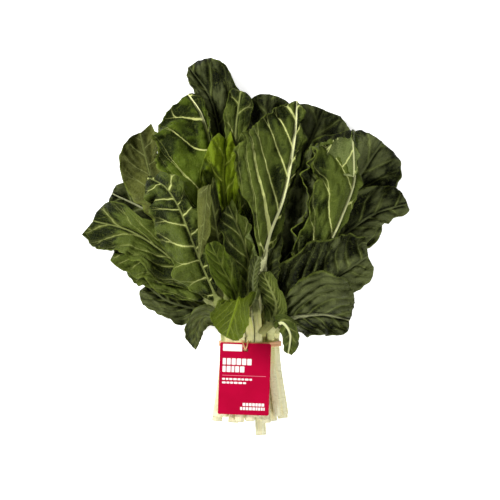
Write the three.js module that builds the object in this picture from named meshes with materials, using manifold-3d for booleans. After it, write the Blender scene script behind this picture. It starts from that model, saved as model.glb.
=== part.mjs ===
// A bunch of large-leaved spinach (leaf beet), tied with one rubber band that also holds a card tag.
// The bunch lies on its back on a flat surface. Units are millimetres: +Y runs from the band to the leaf tips,
// +X is to the right seen from above, and +Z is up. Every leaf is one solid: stalk, rib and blade.
import * as THREE from "three";
import { mergeVertices } from "three/addons/utils/BufferGeometryUtils.js";
import Module from "manifold-3d";

// ---- The tied stalks ----
const ROW_SIZES = [6, 7, 7, 6, 3]; // stalks in each row at the band, from the bottom row up
const SLOT_PITCH = 9; // between neighbours in a row
const ROW_PITCH = 7.9; // between rows
const STALK_WIDTH = 8.4;
const STALK_DEPTH = 7.2;
const CUT_SPREAD = 1.32; // how much wider the cut ends spread than the stalks at the band
const CUT_LENGTH = 80; // from the band to a typical cut end
const NECK = 14; // the stalks run straight this far on both sides of the band

// ---- The rubber band and the card tag ----
const BAND_WIDTH = 5.5;
const BAND_THICKNESS = 1.6;
const BAND_CLEARANCE = 0.5; // from the stalks to the band
const BAND_SIDES = 28;
const HOOK_RADIUS = 0.8; // the band's V-shaped hook, which holds the tag
const HOOKS = [[-7.6, -5.4], [-2, -4.2]]; // where each arm of the V leaves the hoop, and where it enters the slit
const TAG_WIDTH = 54;
const TAG_LENGTH = 76;
const TAG_THICKNESS = 0.6;
const TAG_CORNER = 2;
const TAG_LEFT = -31.5; // the tag hangs off-centre, by the slit near the middle of its top edge
const TAG_TOP = 3;
const TAG_TURN = -2; // degrees
const TAG_CLEARANCE = 0.35; // to the band below it and the hook above it
const SLIT = { width: 5.5, height: 3, below: 6 };

// ---- Leaf sections ----
const BLADE_THICKNESS = 1.5;
const RIB_TIP_HALF = 1.1; // half the rib's width at the leaf's tip
const RIB_TIP_DEPTH = 1.6;
const TIP_HALF = 1.6; // half the blade's width at its very tip
const HALF = 4; // points from the rib to each margin
const BLADE_STATIONS = { large: 10, small: 7, folded: 16 };
const WAVE = 0.12; // how much a margin's width swells and narrows along the leaf

// ---- How the leaves settle on each other ----
const CELL = 2.5;
const FIELD = { x: -200, y: -130, nx: 160, ny: 184 };
const GAP = 1; // air between one leaf and the next
const SAMPLE = 2;
const SETTLE_ROUNDS = 60;
const FOLD_START = 0.5; // from this far along its blade a folded leaf rises in one piece
const STEEPEST = 1; // the most that a neighbour's lift may differ, over their distance in plan
const SAG = 0.03; // share of its lift that an unsupported point loses in each round
const SLUMP = 0.7; // how far a leaf sinks towards the surface by this distance from the band
const SLUMP_LENGTH = 220;
const TIE_ZONE = 18; // the stalks below this height along the bunch keep their places in the rows

const DEG = Math.PI / 180;

// Each leaf lists its slot at the band, the points that its rib runs through from the blade's base to its tip
// (the third number is the height above whatever it lies on), and the true width of its left and right halves.
// peak is where along the blade it is widest. fold is the angle at which each half leaves the rib and curl the
// extra angle at its margin, both in degrees and positive upwards. roll turns the blade about its rib, at base
// and tip. tone names the colour.
const LEAVES = [
  { name: "leaf_low_left", slot: [0, 0], rib: [[-26, 27, 3], [-58, 36, 5], [-89, 45, 6], [-113, 62, 4]], wide: [26, 24], peak: 0.6, fold: [10, 10], curl: [20, 10], roll: [0, 0], tone: "dark" },
  { name: "leaf_far_left", slot: [0, 1], rib: [[-37, 59, 4], [-74, 101, 5], [-110, 141, 5], [-150, 162, 3]], wide: [34, 32], peak: 0.68, fold: [4, 6], curl: [4, 10], roll: [0, 0], tone: "dark" },
  { name: "leaf_tallest", slot: [0, 2], rib: [[-5, 50, 4], [-20, 140, 6], [-32, 222, 8], [-44, 267, 12], [-60, 299, 16]], wide: [20, 32], peak: 0.72, fold: [10, 10], curl: [25, 30], roll: [0, 10], tone: "dark" },
  { name: "leaf_back_centre", slot: [0, 3], rib: [[4, 45, 4], [8, 120, 6], [14, 205, 8], [22, 268, 6]], wide: [27, 30], peak: 0.66, fold: [8, 8], curl: [10, 10], roll: [0, 0], tone: "dark" },
  { name: "leaf_back_right", slot: [0, 4], rib: [[13, 48, 4], [32, 125, 6], [58, 200, 6], [80, 252, 4]], wide: [40, 40], peak: 0.66, fold: [6, 4], curl: [8, 8], roll: [0, 0], tone: "dark" },
  { name: "leaf_far_right", slot: [0, 5], rib: [[32, 46, 4], [80, 120, 6], [121, 180, 6], [149, 206, 2]], wide: [50, 46], peak: 0.66, fold: [4, 2], curl: [10, -6], roll: [0, 0], tone: "dark" },

  { name: "leaf_left_under", slot: [1, 0], rib: [[-40, 44, 3], [-82, 68, 5], [-108, 77, 5], [-133, 78, 3]], wide: [16, 18], peak: 0.6, fold: [8, 8], curl: [12, 12], roll: [0, 0], tone: "mid" },
  { name: "leaf_left_low_fan", slot: [1, 1], rib: [[-46, 50, 3], [-82, 84, 6], [-112, 100, 7], [-146, 99, 5]], wide: [34, 20], peak: 0.6, fold: [10, 10], curl: [12, 14], roll: [0, 0], tone: "mid" },
  { name: "leaf_left_fan", slot: [1, 2], rib: [[-42, 56, 3], [-84, 92, 6], [-126, 120, 8], [-169, 132, 6]], wide: [28, 24], peak: 0.7, fold: [14, 12], curl: [20, 16], roll: [0, 0], tone: "mid" },
  { name: "leaf_top_inner", slot: [1, 3], rib: [[-7, 80, 4], [-13, 164, 8], [-15, 227, 12], [-10, 271, 10]], wide: [18, 18], peak: 0.7, fold: [12, 14], curl: [25, 30], roll: [0, 0], tone: "mid" },
  { name: "leaf_right_lobe", slot: [1, 4], cut: 99, rib: [[34, 48, 3], [84, 102, 5], [131, 138, 5], [169, 150, 4]], wide: [28, 18], peak: 0.55, fold: [6, 6], curl: [8, 8], roll: [0, 0], tone: "dark" },
  { name: "leaf_right_low", slot: [1, 5], rib: [[35, 36, 3], [70, 60, 5], [98, 77, 6], [124, 94, 4]], wide: [36, 30], peak: 0.6, fold: [8, 8], curl: [12, 20], roll: [0, 0], tone: "dark" },
  { name: "leaf_right_bottom", slot: [1, 6], rib: [[37, 27, 3], [56, 32, 6], [78, 33, 8], [105, 26, 4]], wide: [38, 24], peak: 0.58, fold: [10, 8], curl: [10, 14], roll: [0, 0], tone: "dark" },

  { name: "leaf_left_tip", slot: [2, 0], rib: [[-33, 24, 3], [-48, 30, 6], [-57, 17, 6], [-58, -6, 3]], wide: [9, 10], peak: 0.5, fold: [10, 10], curl: [10, 10], roll: [0, 0], small: true, tone: "dark" },
  { name: "leaf_left_back", slot: [2, 1], rib: [[-42, 59, 4], [-79, 122, 8], [-103, 174, 12], [-118, 226, 12]], wide: [28, 30], peak: 0.66, fold: [-10, -10], curl: [-16, -16], roll: [60, 175], tone: "olive" },
  { name: "leaf_upper_left", slot: [2, 2], rib: [[-27, 80, 4], [-33, 132, 8], [-34, 176, 12], [-42, 216, 14], [-52, 246, 12], [-66, 267, 8]], wide: [48, 16], peak: 0.62, fold: [6, 10], curl: [10, 20], roll: [0, 0], tone: "light" },
  { name: "leaf_centre_left_back", slot: [2, 3], rib: [[-22, 86, 4], [-25, 138, 10], [-28, 178, 14], [-25, 218, 10]], wide: [22, 15], peak: 0.6, fold: [8, 14], curl: [20, 30], roll: [0, 0], small: true, tone: "bright" },
  { name: "leaf_centre_small_back", slot: [2, 4], rib: [[19, 48, 4], [19, 80, 8], [25, 106, 10], [29, 130, 8]], wide: [12, 12], peak: 0.5, fold: [35, 35], curl: [20, 20], roll: [0, 0], small: true, tone: "dark" },
  { name: "leaf_right_shadow", slot: [2, 5], rib: [[35, 42, 4], [52, 88, 8], [67, 138, 10], [74, 185, 10], [76, 212, 6]], wide: [24, 20], peak: 0.5, fold: [10, 10], curl: [40, 10], roll: [0, 0], tone: "dark" },
  { name: "leaf_right_front", slot: [2, 6], rib: [[46, 46, 4], [74, 88, 10], [98, 140, 14], [109, 172, 15], [109, 200, 17], [108, 216, 20], [107, 221, 27], [107, 211, 33], [108, 190, 32], [108, 176, 27]], wide: [38, 34], peak: 0.62, fold: [4, 8], curl: [30, 40], roll: [0, 0], folded: true, tone: "mid" },

  { name: "leaf_left_front", slot: [3, 0], rib: [[-32, 48, 4], [-58, 75, 8], [-89, 117, 12], [-107, 150, 12], [-114, 180, 6]], wide: [14, 54], peak: 0.55, fold: [-40, 6], curl: [-30, -12], roll: [0, 0], tone: "mid" },
  { name: "leaf_folded_over", slot: [3, 1], rib: [[-23, 48, 3], [-32, 108, 4], [-38, 146, 7], [-41, 160, 11], [-42, 166, 20], [-43, 158, 28], [-46, 128, 27], [-51, 92, 19]], wide: [12, 12], peak: 0.62, fold: [-4, -4], curl: [-10, -10], roll: [0, 0], folded: true, tone: "olive" },
  { name: "leaf_centre_narrow", slot: [3, 2], rib: [[-3, 59, 3], [-2, 90, 7], [-10, 117, 9], [-22, 146, 8]], wide: [15, 12], peak: 0.55, fold: [10, 14], curl: [20, 24], roll: [0, 0], small: true, tone: "mid" },
  { name: "leaf_centre_front", slot: [3, 3], rib: [[13, 82, 4], [21, 117, 8], [35, 153, 14], [44, 195, 18], [49, 232, 18], [50, 260, 14]], wide: [60, 30], peak: 0.68, fold: [6, -60], curl: [14, -50], roll: [0, 0], tone: "mid" },
  { name: "leaf_centre_small_front", slot: [3, 4], rib: [[21, 24, 3], [27, 43, 6], [21, 61, 8], [13, 78, 7]], wide: [13, 13], peak: 0.5, fold: [10, 10], curl: [24, 24], roll: [0, 0], small: true, tone: "mid" },
  { name: "leaf_right_tip", slot: [3, 5], rib: [[26, 21, 4], [33, 26, 8], [41, 15, 8], [40, -7, 3]], wide: [10, 6], peak: 0.5, fold: [4, 4], curl: [4, 4], roll: [0, 0], small: true, tone: "mid" },

  { name: "leaf_oval", slot: [4, 0], rib: [[-13, 48, 3], [-19, 64, 6], [-29, 84, 8], [-40, 108, 7]], wide: [14, 15], peak: 0.5, fold: [10, 14], curl: [24, 24], roll: [0, 0], small: true, tone: "bright" },
  { name: "leaf_centre_dark", slot: [4, 2], rib: [[5, 48, 3], [3, 66, 6], [5, 82, 7], [9, 94, 6]], wide: [9, 9], peak: 0.5, fold: [14, 14], curl: [30, 30], roll: [0, 0], small: true, tone: "dark" },
  { name: "leaf_front_drooping", slot: [4, 1], rib: [[-9, 50, 3], [-10, 57, 7], [-11, 57, 14], [-14, 46, 17], [-19, 30, 14], [-24, 12, 6]], wide: [30, 28], peak: 0.6, fold: [-4, -4], curl: [-10, -10], roll: [0, 0], small: true, folded: true, tone: "bright" },
];

const TONES = {
  dark: { color: "#33421c", roughness: 0.5 },
  mid: { color: "#4d6626", roughness: 0.5 },
  light: { color: "#67822e", roughness: 0.55 },
  bright: { color: "#7d9a22", roughness: 0.5 },
  olive: { color: "#5f6f45", roughness: 0.6 },
};
const RUBBER = { color: "#d9a878", roughness: 0.6 };
const CARD = { color: "#c3002f", roughness: 0.45 };

const wasm = await Module();
wasm.setup();

const mix = THREE.MathUtils.lerp;
const clamp01 = (x) => THREE.MathUtils.clamp(x, 0, 1);
const STALK_BOTTOM = BAND_THICKNESS + BAND_CLEARANCE; // the lowest stalks rest on the band

// ---- One leaf's spine ----

function slotPlace([row, column]) {
  return new THREE.Vector3(
    (column - (ROW_SIZES[row] - 1) / 2) * SLOT_PITCH,
    0,
    STALK_BOTTOM + STALK_DEPTH * 0.6 + row * ROW_PITCH,
  );
}

// The line through the cut end, the slot at the band and the rib. The cut ends vary a little in length.
function spineOf(leaf) {
  const slot = slotPlace(leaf.slot);
  const [row, column] = leaf.slot;
  const cut = leaf.cut ?? CUT_LENGTH + 4 * Math.sin(2.3 * column + 1.7 * row);
  const rib = leaf.rib.map(([x, y, z]) => {
    const reach = clamp01(Math.hypot(x - slot.x, y) / SLUMP_LENGTH);
    return new THREE.Vector3(x, y, slot.z * (1 - SLUMP * reach) + z - 4);
  });
  const lean = (rib[0].x - slot.x) / rib[0].y;
  const points = [
    new THREE.Vector3(slot.x * CUT_SPREAD, -cut, slot.z - 1.2),
    new THREE.Vector3(slot.x, -NECK, slot.z),
    new THREE.Vector3(slot.x, NECK, slot.z),
  ];
  if (rib[0].y > 2.5 * NECK) points.push(new THREE.Vector3(slot.x + lean * NECK * 0.8, 2 * NECK, slot.z + 0.5));
  const baseIndex = points.length;
  points.push(...rib);
  return { curve: new THREE.CatmullRomCurve3(points), points, baseIndex };
}

// Stations along the spine: curve parameter u, and t from 0 at the blade's base to 1 at its tip (t < 0 on the stalk).
function stationsOf(leaf, { curve, points, baseIndex }) {
  const count = BLADE_STATIONS[leaf.folded ? "folded" : leaf.small ? "small" : "large"];
  const last = points.length - 1;
  const base = baseIndex / last;
  const stations = [];
  for (let i = 0; i < baseIndex; i++) stations.push({ u: i / last, t: -1 });
  stations.splice(1, 0, { u: 0.5 / last, t: -1 });
  const fine = 200;
  const lengths = [0];
  const at = (k) => curve.getPoint(mix(base, 1, k / fine));
  for (let k = 1, before = at(0); k <= fine; k++) {
    const here = at(k);
    lengths.push(lengths[k - 1] + here.distanceTo(before));
    before = here;
  }
  for (let j = 0; j < count; j++) {
    const even = j / (count - 1);
    const t = mix(even, (1 - Math.cos(even * Math.PI)) / 2, 0.5); // closer together at both ends
    const k = lengths.findIndex((length) => length >= t * lengths[fine] - 1e-6);
    const before = Math.max(k - 1, 0);
    const part = k === before ? 0 : (t * lengths[fine] - lengths[before]) / (lengths[k] - lengths[before]);
    stations.push({ u: mix(base, 1, (before + part) / fine), t });
  }
  return stations;
}

// A frame at each station, carried along the spine without twisting: along, side (right) and up.
function framesOf(curve, stations) {
  const up = new THREE.Vector3(0, 0, 1);
  return stations.map(({ u, t }) => {
    const along = curve.getTangent(u);
    up.addScaledVector(along, -up.dot(along)).normalize();
    return { place: curve.getPoint(u), along, up: up.clone(), side: along.clone().cross(up), t };
  });
}

// ---- One leaf's cross-sections ----

// The blade's half width at t, as a share of its widest.
function outline(t, peak) {
  const a = Math.log(0.5) / Math.log(peak);
  return Math.sqrt(Math.sin(Math.PI * clamp01(t) ** a));
}

// Offsets across the rib, from the left margin to the right one: where the middle surface passes, its normal and
// its half thickness above and below.
function sectionOf(leaf, t, phase) {
  const scale = leaf.small ? 0.8 : 1;
  const ribHalf = mix((STALK_WIDTH * scale) / 2, RIB_TIP_HALF, clamp01(t) ** 0.6);
  const ribDepth = mix(STALK_DEPTH * scale, RIB_TIP_DEPTH, clamp01(t) ** 0.5);
  const section = [];
  for (let k = -HALF; k <= HALF; k++) {
    const hand = Math.sign(k);
    const half = k < 0 ? 0 : 1;
    const step = Math.abs(k) / HALF;
    if (t < 0) {
      // a stalk: flat above, round below
      const round = Math.cos((step * Math.PI) / 2);
      section.push({
        across: hand * ribHalf * Math.sin((step * Math.PI) / 2),
        rise: 0,
        normal: [0, 1],
        above: 0.4 * ribDepth * Math.sqrt(round),
        below: 0.6 * ribDepth * round,
      });
      continue;
    }
    const swell = 1 + WAVE * Math.sin(9 * t + phase + 2 * half);
    const wide = Math.max(leaf.wide[half] * outline(t, leaf.peak) * swell, ribHalf + TIP_HALF * t);
    const reach = k === 0 ? 0 : ribHalf + (wide - ribHalf) * ((Math.abs(k) - 1) / (HALF - 1));
    const steps = 12;
    let across = 0;
    let rise = 0;
    let angle = leaf.fold[half] * DEG;
    for (let n = 0; n < steps; n++) {
      angle = (leaf.fold[half] + leaf.curl[half] * ((n + 0.5) / steps) * (reach / Math.max(wide, 1))) * DEG;
      across += (Math.cos(angle) * reach) / steps;
      rise += (Math.sin(angle) * reach) / steps;
    }
    section.push({
      across: hand * across,
      rise,
      normal: k === 0 ? [0, 1] : [-hand * Math.sin(angle), Math.cos(angle)],
      above: k === 0 ? Math.max(0.3 * ribDepth, BLADE_THICKNESS / 2) : BLADE_THICKNESS / 2,
      below: k === 0 ? Math.max(0.7 * ribDepth, BLADE_THICKNESS / 2) : BLADE_THICKNESS / 2,
    });
  }
  return section;
}

// The closed loop of points around one station: over the top from left to right, then back underneath.
function loopOf(frame, section, roll) {
  const side = frame.side.clone().applyAxisAngle(frame.along, roll);
  const up = frame.up.clone().applyAxisAngle(frame.along, roll);
  const point = ({ across, rise, normal }, offset) =>
    frame.place
      .clone()
      .addScaledVector(side, across + normal[0] * offset)
      .addScaledVector(up, rise + normal[1] * offset);
  const top = section.map((s, i) => point(s, i === 0 || i === 2 * HALF ? 0 : s.above));
  const bottom = section.slice(1, -1).map((s) => point(s, -s.below));
  return [...top, ...bottom.reverse()];
}

const LOOP = 4 * HALF;
const columnOf = (j) => (j <= 2 * HALF ? j : LOOP - j); // which column of the middle surface a loop point is on

// ---- Settling: each leaf is lifted just clear of what lies below it ----

class Pile {
  constructor() {
    this.top = new Float32Array(FIELD.nx * FIELD.ny).fill(-GAP);
  }

  heightAt(x, y, reach) {
    const i = Math.floor((x - FIELD.x) / CELL);
    const j = Math.floor((y - FIELD.y) / CELL);
    let height = -GAP;
    for (let b = Math.max(j - reach, 0); b <= Math.min(j + reach, FIELD.ny - 1); b++)
      for (let a = Math.max(i - reach, 0); a <= Math.min(i + reach, FIELD.nx - 1); a++)
        height = Math.max(height, this.top[b * FIELD.nx + a]);
    return height;
  }

  raise(x, y, z) {
    const i = THREE.MathUtils.clamp(Math.floor((x - FIELD.x) / CELL), 0, FIELD.nx - 1);
    const j = THREE.MathUtils.clamp(Math.floor((y - FIELD.y) / CELL), 0, FIELD.ny - 1);
    const k = j * FIELD.nx + i;
    this.top[k] = Math.max(this.top[k], z);
  }
}

// Calls visit(x, y, z) over the four-cornered patch between two points of one loop and the same two of the next.
function overPatch(a, b, c, d, visit) {
  const size = Math.max(a.distanceTo(b), b.distanceTo(c), c.distanceTo(d), d.distanceTo(a));
  const n = Math.ceil(size / SAMPLE);
  for (let p = 0; p <= n; p++)
    for (let q = 0; q <= n; q++) {
      const s = p / n;
      const t = q / n;
      const w = [(1 - s) * (1 - t), s * (1 - t), s * t, (1 - s) * t];
      visit(
        a.x * w[0] + b.x * w[1] + c.x * w[2] + d.x * w[3],
        a.y * w[0] + b.y * w[1] + c.y * w[2] + d.y * w[3],
        a.z * w[0] + b.z * w[1] + c.z * w[2] + d.z * w[3],
      );
    }
}

// A leaf that is folded over itself rises in one piece, or its lower part would pass through its upper part.
function settle(loops, frames, pile, folded) {
  const columns = 2 * HALF + 1;
  const need = loops.map(() => new Float64Array(columns));
  const fixed = frames.map(({ place, t }) => t < 0 && place.y < TIE_ZONE);
  for (let i = 0; i < loops.length - 1; i++) {
    if (fixed[i] && fixed[i + 1]) continue;
    const stalk = frames[i].t < 0;
    for (let j = 0; j < LOOP; j++) {
      const k = (j + 1) % LOOP;
      let lack = 0;
      overPatch(loops[i][j], loops[i][k], loops[i + 1][k], loops[i + 1][j], (x, y, z) => {
        if (!stalk || y > TIE_ZONE) lack = Math.max(lack, pile.heightAt(x, y, stalk ? 0 : 1) + GAP - z);
      });
      for (const [station, point] of [[i, j], [i, k], [i + 1, k], [i + 1, j]]) {
        const column = columnOf(point);
        need[station][column] = Math.max(need[station][column], lack);
      }
    }
  }
  const plan = (i, k, a, b) => Math.hypot(loops[i][k].x - loops[a][b].x, loops[i][k].y - loops[a][b].y);
  let lift = need.map((row, i) => (fixed[i] ? new Float64Array(columns) : row.slice()));
  for (let round = 0; round < SETTLE_ROUNDS; round++) {
    lift = lift.map((row, i) =>
      row.map((_, k) => {
        if (fixed[i]) return 0;
        const around = [[i - 1, k], [i + 1, k], [i, k - 1], [i, k + 1]].filter(([a, b]) => lift[a]?.[b] !== undefined);
        const mean = around.reduce((sum, [a, b]) => sum + lift[a][b], 0) / around.length;
        const steepest = around.map(([a, b]) => lift[a][b] - STEEPEST * plan(i, k, a, b));
        return Math.max(need[i][k], mean * (1 - SAG), ...steepest);
      }),
    );
    if (!folded) continue;
    const highest = Math.max(...lift.map((row) => Math.max(...row)));
    lift.forEach((row, i) => frames[i].t >= FOLD_START && row.fill(highest));
  }
  loops.forEach((loop, i) => loop.forEach((point, j) => (point.z += lift[i][columnOf(j)])));
  for (let i = 0; i < loops.length - 1; i++)
    for (let j = 0; j < LOOP; j++) {
      const k = (j + 1) % LOOP;
      overPatch(loops[i][j], loops[i][k], loops[i + 1][k], loops[i + 1][j], (x, y, z) => pile.raise(x, y, z));
    }
}

// ---- From loops to a closed mesh ----

function loftGeometry(loops) {
  const positions = loops.flat().flatMap((p) => [p.x, p.y, p.z]);
  const index = [];
  const quad = (a, b, c, d) => index.push(a, b, c, a, c, d);
  for (let i = 0; i < loops.length - 1; i++)
    for (let j = 0; j < LOOP; j++) {
      const k = (j + 1) % LOOP;
      const corners = [i * LOOP + j, i * LOOP + k, (i + 1) * LOOP + k, (i + 1) * LOOP + j];
      // each patch underneath is split along the same diagonal as the one above it
      if (j < 2 * HALF) quad(...corners);
      else quad(...corners.slice(1), corners[0]);
    }
  const last = (loops.length - 1) * LOOP;
  for (let k = 0; k < 2 * HALF; k++) {
    const under = (LOOP - k) % LOOP;
    const next = LOOP - k - 1;
    if (k === 0) index.push(0, next, 1, last, last + 1, last + next);
    else if (k === 2 * HALF - 1) index.push(k, under, k + 1, last + k, last + k + 1, last + under);
    else {
      quad(k, under, next, k + 1);
      quad(last + k, last + k + 1, last + next, last + under);
    }
  }
  const geometry = new THREE.BufferGeometry();
  geometry.setAttribute("position", new THREE.Float32BufferAttribute(positions, 3));
  geometry.setIndex(index);
  geometry.computeVertexNormals();
  return geometry;
}

function leafMesh(leaf, number, pile) {
  const spine = spineOf(leaf);
  const stations = stationsOf(leaf, spine);
  const frames = framesOf(spine.curve, stations);
  const baseTurn = leaf.roll[0];
  const loops = frames.map((frame, i) => {
    const onStalk = clamp01((i - 3) / Math.max(spine.baseIndex - 2, 1));
    const roll = frame.t < 0 ? baseTurn * onStalk : mix(baseTurn, leaf.roll[1], frame.t);
    return loopOf(frame, sectionOf(leaf, frame.t, 1.9 * number), roll * DEG);
  });
  settle(loops, frames, pile, leaf.folded);
  const mesh = new THREE.Mesh(loftGeometry(loops), new THREE.MeshStandardMaterial(TONES[leaf.tone]));
  mesh.name = leaf.name;
  return { mesh, loops };
}

// ---- The rubber band ----

// The taut outline around the stalks at the band, moved out by offset: one straight side for each direction.
function tautOutline(points, offset) {
  const lines = [];
  for (let k = 0; k < BAND_SIDES; k++) {
    const angle = (2 * Math.PI * k) / BAND_SIDES;
    const direction = new THREE.Vector2(Math.cos(angle), Math.sin(angle));
    lines.push({ direction, distance: Math.max(...points.map((p) => p.dot(direction))) + offset });
  }
  return lines.map((line, k) => {
    const next = lines[(k + 1) % BAND_SIDES];
    const turn = line.direction.cross(next.direction);
    return new THREE.Vector2(
      (line.distance * next.direction.y - next.distance * line.direction.y) / turn,
      (next.distance * line.direction.x - line.distance * next.direction.x) / turn,
    );
  });
}

// The hoop around all the stalks.
function hoopGeometry(leafLoops) {
  const points = leafLoops.flatMap((loops) => [...loops[2], ...loops[3]].map((p) => new THREE.Vector2(p.x, p.z)));
  const shape = new THREE.Shape(tautOutline(points, BAND_CLEARANCE + BAND_THICKNESS));
  shape.holes.push(new THREE.Path(tautOutline(points, BAND_CLEARANCE)));
  const geometry = new THREE.ExtrudeGeometry(shape, { depth: BAND_WIDTH, bevelEnabled: false });
  return geometry.rotateX(Math.PI / 2).translate(0, BAND_WIDTH / 2, 0);
}

// One arm of the V that holds the tag: out of the hoop, over the tag's top edge, and down through its slit.
function hookGeometry(start, end, top) {
  const over = top + HOOK_RADIUS + TAG_THICKNESS + 2 * TAG_CLEARANCE;
  const under = top - HOOK_RADIUS;
  const path = new THREE.CatmullRomCurve3([
    new THREE.Vector3(start, 1, under),
    new THREE.Vector3(start, 3.2, under),
    new THREE.Vector3(start, 4.2, top + 0.7),
    new THREE.Vector3(mix(start, end, 0.1), 3.2, over),
    new THREE.Vector3(mix(start, end, 0.5), -0.6, over),
    new THREE.Vector3(end, -4.3, over),
    new THREE.Vector3(end, -5.4, top + 0.8),
    new THREE.Vector3(end, -4.6, under),
    new THREE.Vector3(end, -2, under),
  ]);
  const round = new THREE.Shape().absarc(0, 0, HOOK_RADIUS, 0, 2 * Math.PI);
  return new THREE.ExtrudeGeometry(round, { extrudePath: path, steps: 15, curveSegments: 3 });
}

function solidOf(geometry) {
  const bare = geometry.clone().deleteAttribute("normal").deleteAttribute("uv");
  const merged = mergeVertices(bare, 1e-3);
  return new wasm.Manifold(
    new wasm.Mesh({
      numProp: 3,
      vertProperties: merged.attributes.position.array,
      triVerts: new Uint32Array(merged.index.array),
    }),
  );
}

function geometryOf(solid) {
  const { vertProperties, triVerts } = solid.getMesh();
  const geometry = new THREE.BufferGeometry();
  geometry.setAttribute("position", new THREE.BufferAttribute(vertProperties, 3));
  geometry.setIndex(new THREE.BufferAttribute(triVerts, 1));
  geometry.computeVertexNormals();
  return geometry;
}

function bandMesh(leafLoops) {
  const hoop = hoopGeometry(leafLoops);
  hoop.computeBoundingBox();
  const top = hoop.boundingBox.max.z;
  const solid = HOOKS.reduce(
    (whole, [start, end]) => whole.add(solidOf(hookGeometry(start, end, top))),
    solidOf(hoop),
  );
  const mesh = new THREE.Mesh(geometryOf(solid), new THREE.MeshStandardMaterial(RUBBER));
  mesh.name = "rubber_band";
  return { mesh, top };
}

// ---- The card tag ----

function tagMesh(height) {
  const shape = new THREE.Shape();
  const [w, h, r] = [TAG_WIDTH, TAG_LENGTH, TAG_CORNER];
  shape.moveTo(r, -h).lineTo(w - r, -h).absarc(w - r, r - h, r, -Math.PI / 2, 0);
  shape.lineTo(w, -r).absarc(w - r, -r, r, 0, Math.PI / 2);
  shape.lineTo(r, 0).absarc(r, -r, r, Math.PI / 2, Math.PI);
  shape.lineTo(0, r - h).absarc(r, r - h, r, Math.PI, 1.5 * Math.PI);
  const slit = new THREE.Path();
  const left = (w - SLIT.width) / 2;
  slit.moveTo(left, -SLIT.below).lineTo(left, -SLIT.below - SLIT.height);
  slit.lineTo(left + SLIT.width, -SLIT.below - SLIT.height).lineTo(left + SLIT.width, -SLIT.below);
  slit.closePath();
  shape.holes.push(slit);
  const geometry = new THREE.ExtrudeGeometry(shape, { depth: TAG_THICKNESS, bevelEnabled: false, curveSegments: 3 });
  const mesh = new THREE.Mesh(geometry, new THREE.MeshStandardMaterial(CARD));
  mesh.name = "card_tag";
  mesh.position.set(TAG_LEFT, TAG_TOP, height);
  mesh.rotation.z = TAG_TURN * DEG;
  return mesh;
}

// ---- The bunch ----

const bunch = new THREE.Group();
const pile = new Pile();
const built = LEAVES.map((leaf, number) => leafMesh(leaf, number, pile));
for (const { mesh } of built) bunch.add(mesh);
const band = bandMesh(built.map(({ loops }) => loops));
bunch.add(band.mesh);
bunch.add(tagMesh(band.top + TAG_CLEARANCE));

// The origin is the middle of the bunch's footprint, on the surface that it lies on.
const box = new THREE.Box3().setFromObject(bunch, true);
const middle = box.getCenter(new THREE.Vector3());
bunch.position.set(-middle.x, -middle.y, -box.min.z);

export default bunch;
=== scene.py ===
import math
from dataclasses import dataclass
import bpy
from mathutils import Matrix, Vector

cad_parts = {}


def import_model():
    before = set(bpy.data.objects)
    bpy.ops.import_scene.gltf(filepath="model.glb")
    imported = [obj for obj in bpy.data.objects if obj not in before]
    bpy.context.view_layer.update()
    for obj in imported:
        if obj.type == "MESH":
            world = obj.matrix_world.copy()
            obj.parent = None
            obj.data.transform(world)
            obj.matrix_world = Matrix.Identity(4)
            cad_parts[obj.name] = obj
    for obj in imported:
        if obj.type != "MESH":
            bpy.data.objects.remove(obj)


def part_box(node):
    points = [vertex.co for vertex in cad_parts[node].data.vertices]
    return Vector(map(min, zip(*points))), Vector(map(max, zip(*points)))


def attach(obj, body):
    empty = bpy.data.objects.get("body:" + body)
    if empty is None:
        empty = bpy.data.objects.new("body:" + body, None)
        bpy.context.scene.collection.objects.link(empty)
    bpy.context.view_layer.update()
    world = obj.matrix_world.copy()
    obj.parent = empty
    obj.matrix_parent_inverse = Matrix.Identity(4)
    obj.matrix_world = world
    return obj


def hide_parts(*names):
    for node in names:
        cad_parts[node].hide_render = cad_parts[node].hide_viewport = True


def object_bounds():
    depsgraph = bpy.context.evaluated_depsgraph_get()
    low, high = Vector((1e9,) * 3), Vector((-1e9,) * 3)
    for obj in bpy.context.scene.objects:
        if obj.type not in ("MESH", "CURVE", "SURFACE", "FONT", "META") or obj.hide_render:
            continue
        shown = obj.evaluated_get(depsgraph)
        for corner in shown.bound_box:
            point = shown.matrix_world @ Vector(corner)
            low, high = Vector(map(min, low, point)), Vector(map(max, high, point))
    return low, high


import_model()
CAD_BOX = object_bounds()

from types import SimpleNamespace

import bpy
import numpy as np
from mathutils import Vector
from mathutils.geometry import tessellate_polygon

# A bunch of large-leaved spinach lying on its back. It is laid out in millimetres, with the rubber band's
# middle at the origin, +Y towards the leaf tips and Z up from the surface, and turned into metres in the CAD
# frame at the end. A leaf's grids have rows from its cut end to its tip, and columns from left to right.
MM = 0.001

# ---- The tied stalks, as the CAD has them ----
ROW_SIZES = (6, 7, 7, 6, 3)  # how many stalks lie in each row, from the lowest up
SLOT_PITCH = 9.0
ROW_PITCH = 7.9
STALK_WIDTH = 8.4
STALK_DEPTH = 7.2
SMALL_STALK = 0.8  # a small leaf's stalk against a large one's
STALK_BELOW = 0.6  # the share of a stalk's depth that lies below its middle line
CUT_SPREAD = 1.32  # how much further apart the stalks stand at the cut ends than at the band
CUT_LENGTH = 80.0
CUT_UNEVEN = 4.0
NECK = 14.0  # how far the stalks run straight on either side of the band
BAND_WIDTH = 5.5
BAND_THICKNESS = 1.6
BAND_CLEARANCE = 0.5
SLUMP = 0.7  # the share of its height that a row of leaves has lost at SLUMP_LENGTH from the band
SLUMP_LENGTH = 220.0

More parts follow.
